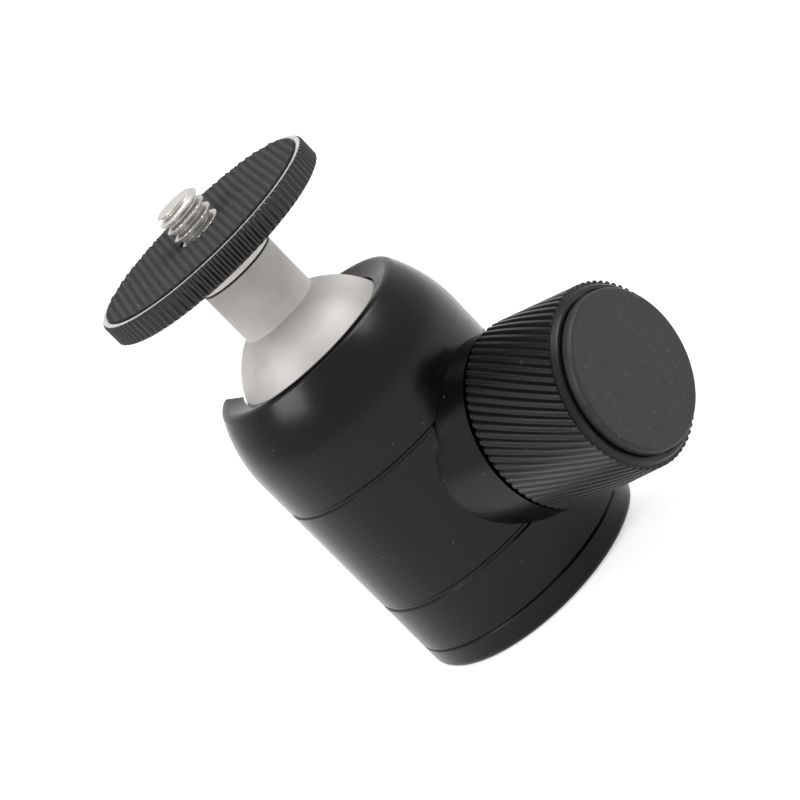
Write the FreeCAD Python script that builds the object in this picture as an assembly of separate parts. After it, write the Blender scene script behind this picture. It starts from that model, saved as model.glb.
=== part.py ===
import FreeCAD, Part
import math
import os

# Small ball head. Up is +Z, the knob points along +X, and the origin is the mouth of the
# threaded bush at the centre of the underside. Every size is in millimetres.

# Housing, base and ball
housing_r = 17.0
wall_t = 3.4
ball_side_t = 1.6
ball_room_h = 1.4
base_t = 3.5
base_edge_r = 1.0
base_plug_h = 4.0
lower_groove_up = 7.8
upper_groove_down = 4.3
groove_w = 0.8
groove_floor_w = 0.3
groove_d = 0.25
seam_c = 0.22

# Dome and lip, as heights above the ball's centre
dome_start_h = -4.9
dome_mid_h = 0.8
dome_end_h = 5.4
dome_mid_in = 0.6
dome_end_in = 2.4
lip_round_r = 1.1
lip_outer_angle = 26.0
lip_inner_angle = 110.0
lip_mouth_h = 5.2
notch_gap = 0.7
notch_bevel = 0.8
shoulder_h = 4.2

# Seats
ball_gap = 0.3
seat_gap = 0.2
slide_gap = 0.4
press_gap = 0.1
upper_seat_h = 3.6
lower_seat_top_h = -6.4
lower_seat_hole_r = 6.5
spring_outer_r = 9.5
spring_inner_r = 7.0
spring_t = 0.3
spring_rise = 0.4
spring_gap = 0.22

# Stem and platform
stem_r = 5.5
stem_h = 18.3
stem_foot_r = 0.35
stem_bore_depth = 14.0
turn_gap = 0.3
spacer_h = 3.0
platform_r = 16.9
platform_t = 3.2
platform_edge_c = 0.3
rim_ring_w = 1.0
pad_recess = 0.6
pad_proud = 0.4
pad_hole_gap = 0.15
stud_r = 3.175
stud_out = 4.4
stud_c = 0.5
stud_neck_r = 2.7
stud_shank_r = 3.0
stud_shank_l = 13.0
stud_flange_r = 5.8
stud_flange_t = 1.1
fit_gap = 0.1

# Clamp screw, bush and wedge
knob_z = 19.9
screw_r = 2.9
screw_past_bush = 2.5
screw_in_knob = 12.3
bush_r = 4.5
bush_past_bore = 4.1
bush_flange_r = 7.0
bush_flange_t = 0.8
clip_r = 3.8
clip_groove_r = 2.3
clip_back = 1.2
clip_t = 0.7
clip_slot = 1.6
clamp_travel = 0.6
pin_r = 3.0
pin_l = 12.5
pin_round_l = 5.0
ramp_top_h = 2.6
ramp_slope = 1.0 / 3.0
ramp_gap = 0.2
tongue_w = 4.4
step_gap = 0.45
lifter_t = 1.2
lifter_rise = 0.3
end_gap = 0.35

# Collar and knob
collar_r = 12.1
collar_l = 3.5
collar_recess = 2.0
collar_rim_t = 0.9
knob_gap = 0.7
knob_r = 12.4
knob_l = 15.0
knob_cone_l = 0.7
knob_cone_in = 0.4
knob_step = 0.4
knob_taper = 0.5
knob_edge_c = 0.2
hub_r = 7.5
hub_proud = 0.5
knob_pocket_r = 9.5
cap_r = 10.35
cap_groove_w = 0.3
cap_groove_d = 0.5
cap_t = 1.4
cap_edge_r = 0.5
cap_plug_l = 1.6
cap_plug_t = 1.0
washer_r = 6.5
washer_t = 0.5
knob_screw_r = 1.5
knob_screw_l = 7.0
knob_screw_head_r = 2.8
knob_screw_head_t = 1.8
knob_screw_hex_r = 1.2
knob_screw_hex_d = 1.0

# Base fittings
insert_r = 4.5
insert_bore_r = 2.6
base_screw_count = 3
base_screw_r = 1.25
base_screw_head_r = 2.3
base_screw_circle_r = 9.5
base_screw_angle = 60.0
base_screw_sunk = 0.3
base_screw_in = 4.5
base_screw_hex_r = 0.9
base_screw_hex_d = 0.9
tripod_screw_room = 2.5
guide_pin_r = 1.0
guide_pin_y = 9.0
guide_pin_in = 5.0
guide_pin_top_gap = 0.2

# Sizes worked out from the ones above
bore_r = housing_r - wall_t
base_r = housing_r
ball_r = bore_r - ball_side_t
base_plug_top = base_t + base_plug_h
block_r = bore_r - turn_gap
seat_r = ball_r + ball_gap
notch_r = stem_r + notch_gap
lifter_z = knob_z + pin_r + lifter_rise
lifter_top_z = lifter_z + lifter_t
spring_top_z = lifter_top_z + spring_t + spring_rise
lower_seat_z = spring_top_z + spring_gap
ball_z = lifter_top_z + ball_room_h + ball_r
lower_groove_z = base_t + lower_groove_up
upper_groove_z = ball_z + dome_start_h - upper_groove_down
stem_top_z = ball_z + stem_h
spacer_z = stem_top_z + turn_gap
platform_z = spacer_z + spacer_h
platform_top_z = platform_z + platform_t
pad_r = platform_r - rim_ring_w
pad_floor_z = platform_top_z - pad_recess
flange_z = pad_floor_z - stud_flange_t
pad_top_z = platform_top_z + pad_proud
stud_top_z = pad_top_z + stud_out
collar_end_x = housing_r + collar_l
bush_in_x = bore_r - bush_past_bore
bush_flange_x = collar_end_x - collar_recess
screw_tip_x = bush_in_x - screw_past_bush
clip_in_x = screw_tip_x + clip_back
pin_end_x = screw_tip_x - pin_l
ramp_top_x = screw_tip_x - pin_round_l
knob_in_x = collar_end_x + knob_gap
screw_end_x = knob_in_x + screw_in_knob
cone_r = knob_r - knob_taper - knob_step
cone_x = knob_in_x + knob_l - knob_cone_l
knob_out_x = knob_in_x + knob_l
hub_x = knob_in_x - hub_proud

Z_AXIS = FreeCAD.Vector(0, 0, 1)
X_AXIS = FreeCAD.Vector(1, 0, 0)
ORIGIN = FreeCAD.Vector(0, 0, 0)


def at(x, y, z):
    return FreeCAD.Vector(x, y, z)


def cyl_z(r, z0, z1, x=0.0, y=0.0):
    return Part.makeCylinder(r, z1 - z0, at(x, y, z0), Z_AXIS)


def cyl_x(r, x0, x1):
    return Part.makeCylinder(r, x1 - x0, at(x0, 0, knob_z), X_AXIS)


def ball(r):
    return Part.makeSphere(r, at(0, 0, ball_z))


def hexagon(r, x, y, z):
    points = []
    for i in range(7):
        a = math.radians(60 * i)
        points.append(at(x + r * math.cos(a), y + r * math.sin(a), z))
    return points


def hex_prism(r, x, y, z, h):
    face = Part.Face(Part.makePolygon(hexagon(r, x, y, z)))
    return face.extrude(at(0, 0, h))


def turned_z(points):
    """A solid turned about the Z axis from (radius, height) points."""
    corners = [at(r, 0, z) for r, z in points]
    corners.append(corners[0])
    face = Part.Face(Part.makePolygon(corners))
    return face.revolve(ORIGIN, Z_AXIS, 360)


def turned_x(points):
    """A solid turned about the knob's axis from (x, radius) points."""
    corners = [at(x, 0, knob_z + r) for x, r in points]
    corners.append(corners[0])
    face = Part.Face(Part.makePolygon(corners))
    return face.revolve(at(0, 0, knob_z), X_AXIS, 360)


def groove(z):
    """A ring to cut from the wall, with sloping sides and a flat floor."""
    floor = groove_floor_w / 2
    mouth = groove_w / 2
    over = mouth + (mouth - floor)
    return turned_z([
        (housing_r - groove_d, z - floor),
        (housing_r + groove_d, z - over),
        (housing_r + groove_d, z + over),
        (housing_r - groove_d, z + floor),
    ])


def on_lip(end, angle):
    """A point of the lip's round, which starts where the dome ends."""
    start = math.radians(lip_outer_angle)
    turn = math.radians(angle)
    x = end.x + lip_round_r * (math.cos(turn) - math.cos(start))
    z = end.z + lip_round_r * (math.sin(turn) - math.sin(start))
    return at(x, 0, z)


def housing():
    start = at(housing_r, 0, ball_z + dome_start_h)
    middle = at(housing_r - dome_mid_in, 0, ball_z + dome_mid_h)
    dome_end = at(housing_r - dome_end_in, 0, ball_z + dome_end_h)
    crest = on_lip(dome_end, (lip_outer_angle + lip_inner_angle) / 2)
    lip_end = on_lip(dome_end, lip_inner_angle)
    mouth = at(math.sqrt(seat_r ** 2 - lip_mouth_h ** 2), 0, ball_z + lip_mouth_h)
    axis_top = at(0, 0, mouth.z)
    axis_bottom = at(0, 0, base_t)
    foot_in = at(housing_r - seam_c, 0, base_t)
    foot_out = at(housing_r, 0, base_t + seam_c)
    edges = [
        Part.makeLine(foot_out, start),
        Part.Arc(start, middle, dome_end).toShape(),
        Part.Arc(dome_end, crest, lip_end).toShape(),
        Part.makeLine(lip_end, mouth),
        Part.makeLine(mouth, axis_top),
        Part.makeLine(axis_top, axis_bottom),
        Part.makeLine(axis_bottom, foot_in),
        Part.makeLine(foot_in, foot_out),
    ]
    body = Part.Face(Part.Wire(edges)).revolve(ORIGIN, Z_AXIS, 360)
    body = body.cut(cyl_z(bore_r, base_t, ball_z + shoulder_h))
    body = body.cut(ball(seat_r))
    body = body.cut(cyl_x(bush_r, bush_in_x, 2 * housing_r))
    body = body.cut([groove(lower_groove_z), groove(upper_groove_z)])
    return body.cut([stem_notch(), notch_mouth()])


def stem_notch():
    """The slot opposite the knob that the stem drops into, open at the top."""
    slot = Part.makeCylinder(notch_r, 2 * housing_r, at(0, 0, ball_z), X_AXIS * -1)
    return slot.fuse(Part.makeBox(2 * housing_r, 2 * notch_r, ball_r, at(-2 * housing_r, -notch_r, ball_z)))


def notch_mouth():
    """The bevel round the slot's outer edge."""
    x0 = -housing_r + notch_bevel
    x1 = x0 - 2 * notch_bevel
    wide = notch_r + 2 * notch_bevel
    cone = Part.makeCone(notch_r, wide, x0 - x1, at(x0, 0, ball_z), X_AXIS * -1)
    corners = [(x0, -notch_r), (x1, -wide), (x1, wide), (x0, notch_r), (x0, -notch_r)]
    face = Part.Face(Part.makePolygon([at(x, y, ball_z) for x, y in corners]))
    return cone.fuse(face.extrude(at(0, 0, ball_r)))


def base_plate():
    plate = cyl_z(base_r, 0, base_t)
    bottom = [e for e in plate.Edges if e.BoundBox.ZMax < base_t / 2 and e.BoundBox.XLength > base_r]
    plate = plate.makeFillet(base_edge_r, bottom)
    top = [e for e in plate.Edges if e.BoundBox.ZMin > base_t / 2 and e.BoundBox.XLength > base_r]
    plate = plate.makeChamfer(seam_c, top)
    plate = plate.fuse(cyl_z(bore_r - press_gap, base_t, base_plug_top)).removeSplitter()
    plate = plate.cut(cyl_z(insert_r, 0, base_plug_top))
    return plate.cut([base_screw(x, y, False) for x, y in base_screw_places()])


def thread_insert():
    return cyl_z(insert_r, 0, base_plug_top).cut(cyl_z(insert_bore_r, 0, base_plug_top))


def base_screw_places():
    places = []
    for i in range(base_screw_count):
        a = math.radians(base_screw_angle + 360.0 * i / base_screw_count)
        places.append((base_screw_circle_r * math.cos(a), base_screw_circle_r * math.sin(a)))
    return places


def base_screw(x, y, with_recess):
    """A countersunk screw from below, or the room that it takes in the base plate."""
    low = base_screw_sunk if with_recess else 0.0
    cone_h = base_screw_head_r - base_screw_r
    head = Part.makeCone(base_screw_head_r, base_screw_r, cone_h, at(x, y, base_screw_sunk), Z_AXIS)
    shank = cyl_z(base_screw_r, base_screw_sunk, base_plug_top + base_screw_in, x, y)
    screw = head.fuse(shank)
    if with_recess:
        return screw.cut(hex_prism(base_screw_hex_r, x, y, low, base_screw_hex_d))
    return screw.fuse(cyl_z(base_screw_head_r, low, base_screw_sunk, x, y))


def base_screws():
    return Part.makeCompound([base_screw(x, y, True) for x, y in base_screw_places()])


def guide_block():
    block = cyl_z(block_r, base_plug_top, knob_z)
    channel_end = pin_end_x - clamp_travel - end_gap
    cuts = [cyl_x(pin_r + fit_gap, channel_end, bush_in_x)]
    cuts.append(cyl_x(clip_r + turn_gap, clip_in_x - clamp_travel - turn_gap, bush_in_x))
    cuts.append(cyl_x(bush_r, bush_in_x, block_r + 1.0))
    cuts.append(cyl_z(insert_r, base_plug_top, base_plug_top + tripod_screw_room))
    for x, y in base_screw_places():
        cuts.append(cyl_z(base_screw_r, base_plug_top, base_plug_top + base_screw_in, x, y))
    for y in (-guide_pin_y, guide_pin_y):
        cuts.append(cyl_z(guide_pin_r, knob_z - guide_pin_in, knob_z, 0, y))
    return block.cut(cuts)


def guide_pins():
    top = lifter_top_z - guide_pin_top_gap
    low = knob_z - guide_pin_in
    return Part.makeCompound([cyl_z(guide_pin_r, low, top, 0, y) for y in (-guide_pin_y, guide_pin_y)])


def clamp_bush():
    tube = cyl_x(bush_r, bush_in_x, bush_flange_x)
    tube = tube.fuse(cyl_x(bush_flange_r, bush_flange_x, bush_flange_x + bush_flange_t))
    return tube.cut(cyl_x(screw_r + fit_gap, bush_in_x, collar_end_x)).removeSplitter()


def knob_collar():
    collar = cyl_x(collar_r, 0, collar_end_x)
    collar = collar.cut(cyl_z(housing_r, base_t, ball_z))
    collar = collar.cut(cyl_x(bush_r, 0, collar_end_x))
    return collar.cut(cyl_x(collar_r - collar_rim_t, bush_flange_x, collar_end_x))


def upper_seat():
    top = ball_z + shoulder_h
    ring = cyl_z(bore_r - press_gap, top - upper_seat_h, top)
    return ring.cut(ball(seat_r)).cut(stem_notch())


def lower_seat():
    cup = cyl_z(bore_r - slide_gap, lower_seat_z, ball_z + lower_seat_top_h)
    cup = cup.cut(ball(ball_r + seat_gap))
    return cup.cut(cyl_z(lower_seat_hole_r, lower_seat_z, ball_z))


def disc_spring():
    low = lifter_top_z
    return turned_z([
        (spring_outer_r, low),
        (spring_outer_r, low + spring_t),
        (spring_inner_r, spring_top_z),
        (spring_inner_r, spring_top_z - spring_t),
    ])


def ramp_z(x):
    return knob_z + ramp_top_h - (ramp_top_x - x) * ramp_slope


def above_ramp(x0, x1, width, top, gap):
    """The space above the ramp between two x positions, up to a height."""
    y = width / 2
    points = [
        at(x0, -y, ramp_z(x0) + gap),
        at(x1, -y, ramp_z(x1) + gap),
        at(x1, -y, top),
        at(x0, -y, top),
    ]
    points.append(points[0])
    return Part.Face(Part.makePolygon(points)).extrude(at(0, width, 0))


def wedge_pin():
    pin = cyl_x(pin_r, pin_end_x, screw_tip_x)
    return pin.cut(above_ramp(pin_end_x - 1.0, ramp_top_x, 4 * pin_r, knob_z + 2 * pin_r, 0.0))


def lifter():
    plate = cyl_z(bore_r - slide_gap, lifter_z, lifter_top_z)
    tongue_x0 = pin_end_x + step_gap
    tongue_x1 = ramp_top_x - clamp_travel - step_gap
    plate = plate.fuse(above_ramp(tongue_x0, tongue_x1, tongue_w, lifter_z, ramp_gap))
    plate = plate.removeSplitter()
    notch_x = clip_in_x - clamp_travel - 2 * turn_gap
    notch_w = 2 * (bush_r + turn_gap)
    plate = plate.cut(Part.makeBox(housing_r, notch_w, lifter_t, at(notch_x, -notch_w / 2, lifter_z)))
    holes = [cyl_z(guide_pin_r + turn_gap, lifter_z, lifter_top_z, 0, y) for y in (-guide_pin_y, guide_pin_y)]
    return plate.cut(holes)


def clamp_screw():
    shaft = cyl_x(screw_r, screw_tip_x, screw_end_x)
    slot = cyl_x(screw_r, clip_in_x, clip_in_x + clip_t).cut(cyl_x(clip_groove_r, clip_in_x, clip_in_x + clip_t))
    return shaft.cut([slot, cyl_x(knob_screw_r, screw_end_x - knob_screw_l, screw_end_x)])


def retaining_clip():
    ring = cyl_x(clip_r, clip_in_x, clip_in_x + clip_t)
    ring = ring.cut(cyl_x(clip_groove_r, clip_in_x, clip_in_x + clip_t))
    opening = Part.makeBox(clip_t, clip_slot, clip_r, at(clip_in_x, -clip_slot / 2, knob_z))
    return ring.cut(opening)


def thrust_washer():
    washer = cyl_x(washer_r, hub_x - washer_t, hub_x)
    return washer.cut(cyl_x(screw_r, hub_x - washer_t, hub_x))


def knob_body():
    body = turned_x([
        (knob_in_x, 0),
        (knob_in_x, knob_r - knob_edge_c),
        (knob_in_x + knob_edge_c, knob_r),
        (cone_x, knob_r - knob_taper),
        (cone_x, cone_r),
        (knob_out_x, cone_r - knob_cone_in),
        (knob_out_x, 0),
    ])
    body = body.fuse(cyl_x(hub_r, hub_x, knob_in_x)).removeSplitter()
    ring = cyl_x(cap_r + cap_groove_w, knob_out_x - cap_groove_d, knob_out_x)
    ring = ring.cut(cyl_x(cap_r, knob_out_x - cap_groove_d, knob_out_x))
    body = body.cut([ring, cyl_x(screw_r, hub_x, screw_end_x)])
    return body.cut(cyl_x(knob_pocket_r, screw_end_x, knob_out_x))


def knob_screw():
    head_x = screw_end_x + knob_screw_head_t
    screw = cyl_x(knob_screw_head_r, screw_end_x, head_x)
    screw = screw.fuse(cyl_x(knob_screw_r, screw_end_x - knob_screw_l, screw_end_x))
    hexagon_cut = hex_prism(knob_screw_hex_r, 0, 0, 0, knob_screw_hex_d)
    hexagon_cut.rotate(ORIGIN, FreeCAD.Vector(0, 1, 0), -90)
    hexagon_cut.translate(at(head_x, 0, knob_z))
    return screw.removeSplitter().cut(hexagon_cut)


def knob_cap():
    disc = cyl_x(cap_r, knob_out_x, knob_out_x + cap_t)
    outer = [e for e in disc.Edges if e.BoundBox.XMin > knob_out_x + cap_t / 2]
    disc = disc.makeFillet(cap_edge_r, outer)
    plug = cyl_x(knob_pocket_r, knob_out_x - cap_plug_l, knob_out_x)
    plug = plug.cut(cyl_x(knob_pocket_r - cap_plug_t, knob_out_x - cap_plug_l, knob_out_x))
    return disc.fuse(plug).removeSplitter()


def ball_stem():
    whole = ball(ball_r).fuse(cyl_z(stem_r, ball_z, stem_top_z)).removeSplitter()
    foot_z = ball_z + math.sqrt(ball_r ** 2 - stem_r ** 2)
    foot = [e for e in whole.Edges if abs(e.BoundBox.ZMax - foot_z) < 0.01 and abs(e.BoundBox.ZMin - foot_z) < 0.01]
    whole = whole.makeFillet(stem_foot_r, foot)
    return whole.cut(cyl_z(stud_shank_r + fit_gap, stem_top_z - stem_bore_depth, stem_top_z))


def stem_spacer():
    return cyl_z(stem_r, spacer_z, platform_z).cut(cyl_z(stud_shank_r, spacer_z, platform_z))


def platform():
    disc = cyl_z(platform_r, platform_z, platform_top_z)
    rims = [e for e in disc.Edges if e.BoundBox.ZLength < 0.01]
    disc = disc.makeChamfer(platform_edge_c, rims)
    disc = disc.cut(cyl_z(pad_r, pad_floor_z, platform_top_z))
    disc = disc.cut(cyl_z(stud_flange_r, flange_z, pad_floor_z))
    return disc.cut(cyl_z(stud_shank_r, platform_z, flange_z))


def rubber_pad():
    return cyl_z(pad_r, pad_floor_z, pad_top_z).cut(cyl_z(stud_r + pad_hole_gap, pad_floor_z, pad_top_z))


def camera_screw():
    stud = cyl_z(stud_r, pad_top_z, stud_top_z)
    top = [e for e in stud.Edges if e.BoundBox.ZMin > stud_top_z - 0.01]
    stud = stud.makeChamfer(stud_c, top)
    shank = cyl_z(stud_shank_r, stem_top_z - stud_shank_l, flange_z)
    neck = cyl_z(stud_neck_r, pad_floor_z, pad_top_z)
    return stud.fuse([neck, cyl_z(stud_flange_r, flange_z, pad_floor_z), shank]).removeSplitter()


PIECES = {
    "housing": housing,
    "knob_collar": knob_collar,
    "base_plate": base_plate,
    "thread_insert": thread_insert,
    "base_screws": base_screws,
    "guide_block": guide_block,
    "guide_pins": guide_pins,
    "clamp_bush": clamp_bush,
    "upper_seat": upper_seat,
    "wedge_pin": wedge_pin,
    "lifter": lifter,
    "disc_spring": disc_spring,
    "lower_seat": lower_seat,
    "clamp_screw": clamp_screw,
    "retaining_clip": retaining_clip,
    "thrust_washer": thrust_washer,
    "knob_body": knob_body,
    "knob_screw": knob_screw,
    "knob_cap": knob_cap,
    "ball_stem": ball_stem,
    "stem_spacer": stem_spacer,
    "platform": platform,
    "rubber_pad": rubber_pad,
    "camera_screw": camera_screw,
}

os.makedirs("parts", exist_ok=True)
for name, make in PIECES.items():
    shape = make()
    shape.exportStep("parts/" + name + ".step")
    box = shape.BoundBox
    print(name, len(shape.Solids), shape.isValid(), round(shape.Volume, 1),
          [round(v, 2) for v in (box.XMin, box.XMax, box.YMin, box.YMax, box.ZMin, box.ZMax)])
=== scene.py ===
import math

import bpy
from mathutils import Matrix, Vector

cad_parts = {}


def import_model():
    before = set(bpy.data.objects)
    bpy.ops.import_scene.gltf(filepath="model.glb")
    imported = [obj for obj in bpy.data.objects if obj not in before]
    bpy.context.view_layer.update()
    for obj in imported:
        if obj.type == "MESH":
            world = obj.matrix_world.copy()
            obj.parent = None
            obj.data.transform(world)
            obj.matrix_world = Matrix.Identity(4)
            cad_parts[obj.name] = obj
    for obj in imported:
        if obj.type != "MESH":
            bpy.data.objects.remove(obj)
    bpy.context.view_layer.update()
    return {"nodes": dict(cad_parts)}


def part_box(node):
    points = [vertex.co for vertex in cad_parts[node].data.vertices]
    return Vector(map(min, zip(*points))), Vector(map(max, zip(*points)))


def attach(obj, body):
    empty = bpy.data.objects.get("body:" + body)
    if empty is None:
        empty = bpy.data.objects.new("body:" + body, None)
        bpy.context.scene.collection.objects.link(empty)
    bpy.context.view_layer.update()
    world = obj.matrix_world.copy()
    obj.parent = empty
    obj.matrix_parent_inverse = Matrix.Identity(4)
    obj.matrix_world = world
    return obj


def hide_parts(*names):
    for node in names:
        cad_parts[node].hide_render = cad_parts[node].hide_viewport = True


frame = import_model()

MM = 0.001

# Places and sizes read from the frame
KNOB_Z = (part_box("knob_body")[0].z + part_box("knob_body")[1].z) / 2
PLATFORM_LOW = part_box("platform")[0].z
PLATFORM_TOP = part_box("platform")[1].z
PLATFORM_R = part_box("platform")[1].x
PAD_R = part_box("rubber_pad")[1].x
PAD_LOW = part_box("rubber_pad")[0].z
PAD_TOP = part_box("rubber_pad")[1].z
SCREW_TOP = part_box("camera_screw")[1].z
SCREW_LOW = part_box("camera_screw")[0].z
SCREW_R = 3.175 * MM
KNOB_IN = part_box("knob_body")[0].x + 0.5 * MM
KNOB_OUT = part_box("knob_body")[1].x
KNOB_R = 12.4 * MM

# The camera, found by fitting outlines to the photograph
CAM_AZ = 47.9
CAM_EL = 16.39
CAM_ROLL = -44.44
CAM_DIST = 0.3379
CAM_AIM_Z = 0.030
FOCAL_PX = 2664.6
FRAME_PX = 800
CENTRE_PX = (377.9, 411.7)
SENSOR = 36.0

# Stage levels
FLOOR_SIZE = 3.0
FLOOR_LEVEL = 0.6
FLOOR_GLOW = 0.6
WORLD_BACK = 1.0
WORLD_FRONT = 0.25
WORLD_BACK_AT = -0.4
WORLD_FRONT_AT = 0.6

# Lamps: name, place to the right of, above and in front of the object as the camera sees it, side, power
LAMPS = (
    ("lamp_left", (-0.6, -0.1, 0.4), 0.38, 3.8),
    ("lamp_top", (0.0, 0.65, 0.35), 0.4, 4.2),
    ("lamp_corner", (-0.45, 0.45, 0.15), 0.4, 1.8),
)

# Pattern sizes
KNURL_TEETH = 98
KNURL_DEPTH = 0.4 * MM
FLUTES = 68
FLUTE_DEPTH = 0.36 * MM
FLUTE_TWIST = math.radians(28.5)
PAD_PITCH = 1.0 * MM
PAD_ZIGZAG = 1.06 * MM
PAD_ZIGZAG_H = 0.9 * MM
PAD_RIDGE_H = 0.38 * MM
PAD_RIB_SHARE = 0.68
PAD_EDGE_GAP = 0.02 * MM
PAD_HOLE_GAP = 0.05 * MM
THREAD_PITCH = 1.27 * MM
THREAD_DEPTH = 0.72 * MM
THREAD_CREST = 0.25
THREAD_FLANK = 0.6
THREAD_STEP = 0.05 * MM
SCREW_CHAMFER = 0.5 * MM
SHANK_R = 3.0 * MM
SHANK_EDGE = 0.3 * MM
FLANGE_R = 5.8 * MM
FLANGE_T = 1.1 * MM


# Materials

def material(name, color, rough, metal=0.0):
    mat = bpy.data.materials.new(name)
    mat.use_nodes = True
    shader = mat.node_tree.nodes["Principled BSDF"]
    shader.inputs["Base Color"].default_value = (*color, 1)
    shader.inputs["Roughness"].default_value = rough
    shader.inputs["Metallic"].default_value = metal
    return mat, mat.node_tree, shader


def node(tree, kind, **values):
    n = tree.nodes.new(kind)
    for key, value in values.items():
        if key in n.inputs:
            n.inputs[key].default_value = value
        else:
            setattr(n, key, value)
    return n


def object_coords(tree, scale=(1, 1, 1)):
    coords = node(tree, "ShaderNodeTexCoord")
    mapping = node(tree, "ShaderNodeMapping")
    mapping.inputs["Scale"].default_value = scale
    tree.links.new(coords.outputs["Object"], mapping.inputs["Vector"])
    return mapping.outputs["Vector"]


def noise(tree, scale, detail=3.0, stretch=(1, 1, 1)):
    n = node(tree, "ShaderNodeTexNoise")
    n.inputs["Scale"].default_value = scale
    n.inputs["Detail"].default_value = detail
    tree.links.new(object_coords(tree, stretch), n.inputs["Vector"])
    return n.outputs["Fac"]


def ramp(tree, source, stops):
    r = node(tree, "ShaderNodeValToRGB")
    elements = r.color_ramp.elements
    elements[0].position, elements[0].color = stops[0][0], (*stops[0][1], 1)
    elements[1].position, elements[1].color = stops[-1][0], (*stops[-1][1], 1)
    for place, color in stops[1:-1]:
        e = elements.new(place)
        e.color = (*color, 1)
    tree.links.new(source, r.inputs["Fac"])
    return r.outputs["Color"]


def remap(tree, source, low, high):
    m = node(tree, "ShaderNodeMapRange")
    m.inputs["To Min"].default_value = low
    m.inputs["To Max"].default_value = high
    tree.links.new(source, m.inputs["Value"])
    return m.outputs["Result"]


def bump(tree, shader, source, strength, distance):
    b = node(tree, "ShaderNodeBump")
    b.inputs["Strength"].default_value = strength
    b.inputs["Distance"].default_value = distance
    tree.links.new(source, b.inputs["Height"])
    tree.links.new(b.outputs["Normal"], shader.inputs["Normal"])


def grey(v, warm=0.0):
    return (v * (1 + warm), v, v * (1 - warm))


def black_anodised(name, level, rough, gloss, specks=True):
    """Satin black anodised metal with a fine grain and a few faint dust specks."""
    mat, tree, shader = material(name, grey(level), 0.35)
    stops = [
        (0.0, grey(level * 0.85, 0.04)), (0.55, grey(level, 0.04)), (0.8, grey(level * 1.2, 0.04)),
    ]
    if specks:
        stops += [(0.845, grey(level * 1.25)), (0.86, grey(0.04))]
    color = ramp(tree, noise(tree, 1500.0, 0.0), stops)
    tree.links.new(color, shader.inputs["Base Color"])
    tree.links.new(remap(tree, noise(tree, 900.0), *rough), shader.inputs["Roughness"])
    shader.inputs["Specular IOR Level"].default_value = gloss
    bump(tree, shader, noise(tree, 9000.0, 2.0), 0.12, 0.00002)
    return mat


def blasted_aluminium(name):
    """Pale fine-blasted aluminium, faintly warm, with faint handling marks."""
    mat, tree, shader = material(name, grey(0.55), 0.55, 0.2)
    color = ramp(tree, noise(tree, 220.0, 5.0), [
        (0.3, (0.42, 0.4, 0.383)), (0.5, (0.47, 0.45, 0.433)), (0.75, (0.5, 0.484, 0.47)),
    ])
    tree.links.new(color, shader.inputs["Base Color"])
    tree.links.new(remap(tree, noise(tree, 700.0), 0.48, 0.62), shader.inputs["Roughness"])
    bump(tree, shader, noise(tree, 7000.0, 2.0), 0.3, 0.00003)
    return mat


def turned_metal(name, color, rough, stretch, metal=0.9):
    """Bright metal with fine turning lines along one axis."""
    mat, tree, shader = material(name, color, rough, metal)
    lines = noise(tree, 3000.0, 2.0, stretch)
    shade = ramp(tree, noise(tree, 500.0), [
        (0.3, tuple(c * 0.86 for c in color)), (0.7, color),
    ])
    tree.links.new(shade, shader.inputs["Base Color"])
    tree.links.new(remap(tree, lines, rough * 0.75, rough * 1.3), shader.inputs["Roughness"])
    bump(tree, shader, lines, 0.2, 0.00002)
    return mat


def pad_rubber(name):
    """Dark rubber, with painted shade darkening the valleys between the ribs and painted light
    brightening their crests.
    """
    mat, tree, shader = material(name, grey(0.025), 0.72)
    shader.inputs["Specular IOR Level"].default_value = 0.2
    place = node(tree, "ShaderNodeSeparateXYZ")
    tree.links.new(object_coords(tree), place.inputs[0])
    # Height across the ribs, the mask for the painted shade and painted light below.
    height = node(tree, "ShaderNodeMapRange")
    height.inputs["From Min"].default_value = PAD_TOP - PAD_RIDGE_H
    height.inputs["From Max"].default_value = PAD_TOP
    tree.links.new(place.outputs["Z"], height.inputs["Value"])
    # Colour set by height: painted shade in the valleys between the ribs, painted light towards their
    # crests.
    color = ramp(tree, height.outputs["Result"], [
        (0.15, grey(0.002, 0.02)), (0.5, grey(0.008, 0.02)), (0.85, grey(0.042, 0.02)),
    ])
    tree.links.new(color, shader.inputs["Base Color"])
    tree.links.new(remap(tree, noise(tree, 1200.0), 0.6, 0.85), shader.inputs["Roughness"])
    bump(tree, shader, noise(tree, 6000.0, 3.0), 0.35, 0.00004)
    return mat


def plastic(name, level):
    mat, tree, shader = material(name, grey(level), 0.45)
    color = ramp(tree, noise(tree, 800.0), [(0.3, grey(level * 0.93)), (0.7, grey(level))])
    tree.links.new(color, shader.inputs["Base Color"])
    tree.links.new(remap(tree, noise(tree, 1500.0), 0.38, 0.52), shader.inputs["Roughness"])
    bump(tree, shader, noise(tree, 3000.0), 0.1, 0.00002)
    return mat


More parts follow.
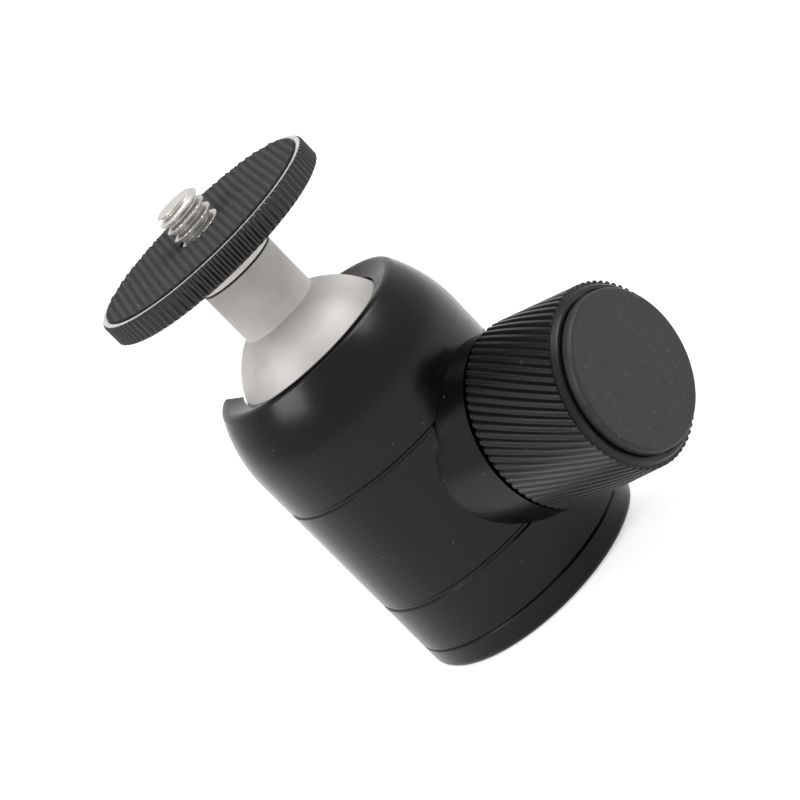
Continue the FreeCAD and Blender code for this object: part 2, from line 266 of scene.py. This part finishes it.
HOUSING_BLACK = black_anodised("housing_black", 0.002, (0.21, 0.28), 0.2)
KNOB_BLACK = black_anodised("knob_black", 0.004, (0.28, 0.38), 0.22)
CAP_BLACK = black_anodised("cap_black", 0.02, (0.4, 0.5), 0.2)
RIM_BLACK = black_anodised("rim_black", 0.003, (0.24, 0.34), 0.4, False)
BARE_RING = turned_metal("bare_ring", (0.55, 0.55, 0.55), 0.45, (1, 1, 8), 0.9)
ALUMINIUM = blasted_aluminium("blasted_aluminium")
TURNED = turned_metal("turned_aluminium", (0.4, 0.385, 0.37), 0.3, (1, 1, 10))
STAINLESS = turned_metal("stainless", (0.56, 0.54, 0.515), 0.3, (1, 1, 10), 0.9)
SPRING_STEEL = turned_metal("spring_steel", (0.4, 0.4, 0.41), 0.35, (1, 1, 6))
BRASS = turned_metal("brass", (0.62, 0.45, 0.2), 0.32, (1, 1, 8))
RUBBER = pad_rubber("pad_rubber")
ACETAL = plastic("acetal", 0.6)


# Mesh helpers

def add_mesh(name, verts, faces, mats, body, nodes, smooth_angle=35.0, face_mats=None):
    mesh = bpy.data.meshes.new(name)
    mesh.from_pydata(verts, [], faces)
    for mat in mats:
        mesh.materials.append(mat)
    if face_mats:
        mesh.polygons.foreach_set("material_index", face_mats)
    mesh.update()
    obj = bpy.data.objects.new(name, mesh)
    bpy.context.scene.collection.objects.link(obj)
    smooth(obj, smooth_angle)
    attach(obj, body)
    if nodes:
        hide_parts(*nodes)
    return obj


def smooth(obj, angle):
    bpy.context.view_layer.objects.active = obj
    obj.select_set(True)
    bpy.ops.object.shade_smooth_by_angle(angle=math.radians(angle))
    obj.select_set(False)


def lathe(profile, segments, shape=None, closed=True):
    """Verts and faces turned about Z from (radius, height) points.

    shape may change a point by its angle.
    """
    verts, faces = [], []
    count = len(profile)
    for i in range(segments):
        a = 2 * math.pi * i / segments
        for k, (r, z) in enumerate(profile):
            if shape:
                rr, zz, turn = shape(k, r, z, a)
            else:
                rr, zz, turn = r, z, 0.0
            verts.append((rr * math.cos(a + turn), rr * math.sin(a + turn), zz))
    for i in range(segments):
        j = (i + 1) % segments
        for k in range(count if closed else count - 1):
            m = (k + 1) % count
            faces.append((i * count + k, j * count + k, j * count + m, i * count + m))
    return verts, faces


def to_knob_axis(verts):
    """Turns points made about Z so that their Z lies along the knob's axis."""
    return [(z, y, KNOB_Z - x) for x, y, z in verts]


# Platform, pad and camera screw

def platform_rim():
    low, top, r = PLATFORM_LOW, PLATFORM_TOP, PLATFORM_R
    edge = 0.3 * MM
    inner = PAD_R
    floor = PAD_LOW
    deep = KNURL_DEPTH
    profile = [
        (3.1 * MM, low), (r - 1.6 * MM, low), (r - edge - deep * 0.7, low), (r, low + edge),
        (r, (low + top) / 2), (r, top - edge * 0.9), (r - edge * 0.9, top),
        (inner + 0.15 * MM, top), (inner, top - 0.1 * MM), (inner, floor), (3.1 * MM, floor),
    ]
    knurled = {3, 4, 5}
    per_tooth = 8
    cut = (0.0, 0.1, 0.75, 1.0, 1.0, 1.0, 0.75, 0.1)

    def tooth(k, rr, zz, a):
        if k in knurled:
            step = int(round(a / (2 * math.pi) * KNURL_TEETH * per_tooth)) % per_tooth
            rr -= deep * cut[step]
        return rr, zz, 0.0

    verts, faces = lathe(profile, KNURL_TEETH * per_tooth, tooth)
    count = len(profile)
    mats = []
    for i in range(KNURL_TEETH * per_tooth):
        for k in range(count):
            mats.append(1 if k in (6, 7) else 0)
    add_mesh(
        "platform_disc", verts, faces, [RIM_BLACK, BARE_RING], "top", ["platform"], 28, mats
    )


def pad():
    """Ribbed rubber disc: parallel ribs that run in a zigzag, and stand higher at its points."""
    r_out = PAD_R - PAD_EDGE_GAP
    r_in = SCREW_R + PAD_HOLE_GAP
    rings, segments = 112, 780
    low = PAD_TOP - PAD_RIDGE_H
    across = math.radians(CAM_AZ - 90)
    verts, faces = [], []
    for i in range(rings + 1):
        r = r_in + (r_out - r_in) * i / rings
        for j in range(segments):
            a = 2 * math.pi * j / segments
            u = r * math.cos(a - across)
            v = r * math.sin(a - across)
            point = abs(2 * ((v / PAD_ZIGZAG) % 1.0) - 1)
            rib = 0.5 + 0.5 * math.cos(2 * math.pi * (u + PAD_ZIGZAG_H * point) / PAD_PITCH)
            z = low + PAD_RIDGE_H * (PAD_RIB_SHARE * rib + (1 - PAD_RIB_SHARE) * point)
            verts.append((r * math.cos(a), r * math.sin(a), z))
    for i in range(rings):
        near, far = i * segments, (i + 1) * segments
        for j in range(segments):
            k = (j + 1) % segments
            faces.append((near + j, far + j, far + k, near + k))
    base = len(verts)
    for r in (r_out, r_in):
        for j in range(segments):
            a = 2 * math.pi * j / segments
            verts.append((r * math.cos(a), r * math.sin(a), PAD_LOW))
    last = rings * segments
    for j in range(segments):
        k = (j + 1) % segments
        faces.append((last + j, base + j, base + k, last + k))
        faces.append((base + j, base + segments + j, base + segments + k, base + k))
        faces.append((base + segments + j, j, k, base + segments + k))
    add_mesh("pad_ribbed", verts, faces, [RUBBER], "top", ["rubber_pad"], 50)


def thread_radius(z, a):
    """Radius of a right-hand thread with flat crests at a height and an angle."""
    phase = (z / THREAD_PITCH - a / (2 * math.pi)) % 1.0
    d = abs(phase - 0.5) * 2
    depth = min(1.0, max(0.0, (d - THREAD_CREST) / THREAD_FLANK))
    return SCREW_R - THREAD_DEPTH * depth


def camera_screw():
    segments = 96
    start = PAD_LOW
    steps = int((SCREW_TOP - start) / THREAD_STEP)
    profile_z = [start + (SCREW_TOP - start) * i / steps for i in range(steps + 1)]
    verts, faces = [], []
    for i in range(segments):
        a = 2 * math.pi * i / segments
        for z in profile_z:
            r = min(thread_radius(z, a), SCREW_R - max(0.0, z - SCREW_TOP + SCREW_CHAMFER))
            verts.append((r * math.cos(a), r * math.sin(a), z))
    count = len(profile_z)
    for i in range(segments):
        this, next_one = i * count, (i + 1) % segments * count
        for k in range(count - 1):
            faces.append((this + k, next_one + k, next_one + k + 1, this + k + 1))
    faces.append([i * count + count - 1 for i in range(segments)])
    faces.append([i * count for i in reversed(range(segments))])
    add_mesh("screw_thread", verts, faces, [STAINLESS], "top", [], 40)
    flange_low = PAD_LOW - FLANGE_T
    profile = [
        (0.0, SCREW_LOW), (SHANK_R - SHANK_EDGE, SCREW_LOW), (SHANK_R, SCREW_LOW + SHANK_EDGE),
        (SHANK_R, flange_low), (FLANGE_R, flange_low), (FLANGE_R, PAD_LOW), (0.0, PAD_LOW),
    ]
    verts, faces = lathe(profile, segments, None, False)
    add_mesh("screw_shank", verts, faces, [STAINLESS], "top", ["camera_screw"], 30)


# Knob

def knob():
    end_r = KNOB_R - 0.5 * MM
    cone_r = end_r - 0.4 * MM
    cone_start = KNOB_OUT - 0.7 * MM
    groove_in = 10.35 * MM
    groove_out = 10.65 * MM
    groove_floor = KNOB_OUT - 0.5 * MM
    pocket_r = 9.5 * MM
    pocket_floor = KNOB_OUT - 2.7 * MM
    bore_r = 2.9 * MM
    hub_r = 7.5 * MM
    hub_end = KNOB_IN - 0.5 * MM
    edge = 0.2 * MM
    steps = 28
    profile = [(hub_r, KNOB_IN), (KNOB_R - FLUTE_DEPTH - edge, KNOB_IN), (KNOB_R - edge, KNOB_IN)]
    for i in range(steps + 1):
        t = i / steps
        along = KNOB_IN + edge + (cone_start - KNOB_IN - edge) * t
        profile.append((KNOB_R + (end_r - KNOB_R) * t, along))
    fluted = range(2, len(profile))
    profile += [
        (cone_r, cone_start), (cone_r - 0.34 * MM, KNOB_OUT - 0.1 * MM), (cone_r - 0.45 * MM, KNOB_OUT),
        (groove_out, KNOB_OUT), (groove_out, groove_floor),
        (groove_in, groove_floor), (groove_in, KNOB_OUT),
        (pocket_r, KNOB_OUT), (pocket_r, pocket_floor),
        (bore_r, pocket_floor), (bore_r, hub_end), (hub_r, hub_end),
    ]
    cut = (0.0, 0.0, 0.0, 0.0, 0.12, 0.45, 0.85, 1.0, 0.7, 0.2)
    segments = FLUTES * len(cut)

    def flute(k, r, z, a):
        if k not in fluted:
            return r, z, FLUTE_TWIST if k > fluted[-1] else 0.0
        turn = FLUTE_TWIST * (z - KNOB_IN) / (cone_start - KNOB_IN)
        step = int(round(a / (2 * math.pi) * segments)) % len(cut)
        return r - FLUTE_DEPTH * cut[step], z, turn

    verts, faces = lathe(profile, segments, flute)
    verts = to_knob_axis(verts)
    add_mesh("knob_fluted", verts, faces, [KNOB_BLACK], "knob", ["knob_body"], 32)


# Materials of the CAD pieces that stay

NODE_MATERIALS = {
    "housing": HOUSING_BLACK,
    "knob_collar": HOUSING_BLACK,
    "base_plate": HOUSING_BLACK,
    "knob_cap": CAP_BLACK,
    "ball_stem": ALUMINIUM,
    "stem_spacer": TURNED,
    "guide_block": ALUMINIUM,
    "lifter": ALUMINIUM,
    "base_screws": STAINLESS,
    "guide_pins": STAINLESS,
    "wedge_pin": STAINLESS,
    "clamp_screw": STAINLESS,
    "knob_screw": STAINLESS,
    "disc_spring": SPRING_STEEL,
    "retaining_clip": SPRING_STEEL,
    "thread_insert": BRASS,
    "clamp_bush": BRASS,
    "upper_seat": ACETAL,
    "lower_seat": ACETAL,
    "thrust_washer": ACETAL,
}


def dress_nodes():
    for name, mat in NODE_MATERIALS.items():
        obj = frame["nodes"][name]
        obj.data.materials.clear()
        obj.data.materials.append(mat)


# Stage

def background_rays(tree):
    """1 for the rays that see the white background: from the camera, and in metal and glass."""
    path = node(tree, "ShaderNodeLightPath")
    seen = path.outputs["Is Camera Ray"]
    for kind in ("Is Glossy Ray", "Is Transmission Ray"):
        either = node(tree, "ShaderNodeMath", operation="MAXIMUM")
        tree.links.new(seen, either.inputs[0])
        tree.links.new(path.outputs[kind], either.inputs[1])
        seen = either.outputs[0]
    return seen


def floor():
    bpy.ops.mesh.primitive_plane_add(size=FLOOR_SIZE, location=(0, 0, 0))
    plane = bpy.context.object
    plane.name = "floor"
    mat = bpy.data.materials.new("floor_pale")
    mat.use_nodes = True
    tree = mat.node_tree
    shader = tree.nodes["Principled BSDF"]
    shader.inputs["Base Color"].default_value = (FLOOR_LEVEL, FLOOR_LEVEL, FLOOR_LEVEL, 1)
    shader.inputs["Roughness"].default_value = 0.9
    shader.inputs["Emission Color"].default_value = (1, 1, 1, 1)
    level = node(tree, "ShaderNodeMath", operation="MULTIPLY")
    level.inputs[1].default_value = FLOOR_GLOW
    tree.links.new(background_rays(tree), level.inputs[0])
    tree.links.new(level.outputs[0], shader.inputs["Emission Strength"])
    plane.data.materials.append(mat)


def world():
    """White to the camera and in reflections; its light is soft, and dimmer on the camera's side."""
    w = bpy.data.worlds.new("studio")
    bpy.context.scene.world = w
    w.use_nodes = True
    tree = w.node_tree
    tree.nodes.clear()
    out = node(tree, "ShaderNodeOutputWorld")
    coords = node(tree, "ShaderNodeTexCoord")
    facing = node(tree, "ShaderNodeVectorMath", operation="DOT_PRODUCT")
    facing.inputs[1].default_value = camera_axes()[2]
    tree.links.new(coords.outputs["Generated"], facing.inputs[0])
    level = node(tree, "ShaderNodeMapRange")
    level.inputs["From Min"].default_value = WORLD_BACK_AT
    level.inputs["From Max"].default_value = WORLD_FRONT_AT
    level.inputs["To Min"].default_value = WORLD_BACK
    level.inputs["To Max"].default_value = WORLD_FRONT
    tree.links.new(facing.outputs["Value"], level.inputs["Value"])
    light = node(tree, "ShaderNodeBackground")
    tree.links.new(level.outputs["Result"], light.inputs["Strength"])
    white = node(tree, "ShaderNodeBackground")
    white.inputs["Strength"].default_value = 1.0
    for background in (light, white):
        background.inputs["Color"].default_value = (1, 1, 1, 1)
    mix = node(tree, "ShaderNodeMixShader")
    tree.links.new(background_rays(tree), mix.inputs[0])
    tree.links.new(light.outputs[0], mix.inputs[1])
    tree.links.new(white.outputs[0], mix.inputs[2])
    tree.links.new(mix.outputs[0], out.inputs[0])


def softbox(name, place, side, power):
    """A square lamp that faces the object."""
    right, up, back = camera_axes()
    aim = Vector((0, 0, CAM_AIM_Z))
    spot = aim + right * place[0] + up * place[1] + back * place[2]
    data = bpy.data.lights.new(name, "AREA")
    data.shape = "RECTANGLE"
    data.size = side
    data.size_y = side
    data.energy = power
    obj = bpy.data.objects.new(name, data)
    bpy.context.scene.collection.objects.link(obj)
    obj.location = spot
    obj.rotation_euler = (aim - spot).to_track_quat("-Z", "Y").to_euler()


def lamps():
    for lamp in LAMPS:
        softbox(*lamp)


def camera_axes():
    a, e, r = (math.radians(v) for v in (CAM_AZ, CAM_EL, CAM_ROLL))
    back = Vector((math.sin(a) * math.cos(e), -math.cos(a) * math.cos(e), math.sin(e)))
    right = Vector((math.cos(a), math.sin(a), 0))
    up = back.cross(right)
    return math.cos(r) * right + math.sin(r) * up, -math.sin(r) * right + math.cos(r) * up, back


def camera():
    right, up, back = camera_axes()
    data = bpy.data.cameras.new("camera")
    data.sensor_fit = "HORIZONTAL"
    data.sensor_width = SENSOR
    data.lens = FOCAL_PX / FRAME_PX * SENSOR
    data.shift_x = (FRAME_PX / 2 - CENTRE_PX[0]) / FRAME_PX
    data.shift_y = (CENTRE_PX[1] - FRAME_PX / 2) / FRAME_PX
    data.clip_start = 0.01
    obj = bpy.data.objects.new("camera", data)
    bpy.context.scene.collection.objects.link(obj)
    eye = Vector((0, 0, CAM_AIM_Z)) + back * CAM_DIST
    turn = Matrix((right, up, back)).transposed()
    obj.matrix_world = Matrix.Translation(eye) @ turn.to_4x4()
    bpy.context.scene.camera = obj


dress_nodes()
platform_rim()
pad()
camera_screw()
knob()
floor()
world()
lamps()
camera()

scene = bpy.context.scene
scene.view_settings.view_transform = "Standard"
